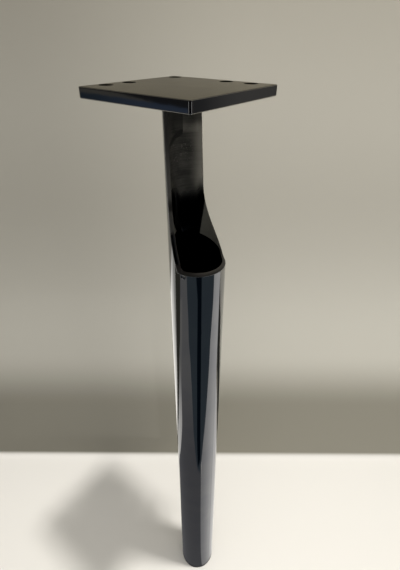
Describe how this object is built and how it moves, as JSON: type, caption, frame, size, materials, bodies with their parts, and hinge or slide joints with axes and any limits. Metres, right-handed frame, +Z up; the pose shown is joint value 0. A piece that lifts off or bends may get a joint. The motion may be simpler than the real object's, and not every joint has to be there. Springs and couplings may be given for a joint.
{
  "type": "metal furniture leg",
  "caption": "Round metal tube leg with a square mounting plate; below the plate the tube is scooped away to a half-round neck. Mirror-dark chrome, plain floor glide.",
  "frame": {"origin": "centre of the mounting plate's top face", "axes": "+Z up, out of the plate's top face into the furniture; the leg hangs down -Z; +X is the side that the scoop opens towards, and the leg's axis stands 15 mm from the origin that way"},
  "size_m": [0.1, 0.1, 0.72],
  "materials": {
    "black_chrome": "dark mirror chrome, ground grey inside the neck",
    "weld_metal": "plated weld bead, slightly rough",
    "glide_plastic": "matte black moulded plastic"
  },
  "bodies": {
    "root": {"mounting_plate": "black_chrome", "leg_tube": "black_chrome", "neck_weld": "weld_metal", "floor_glide": "glide_plastic"}
  },
  "joints": []
}
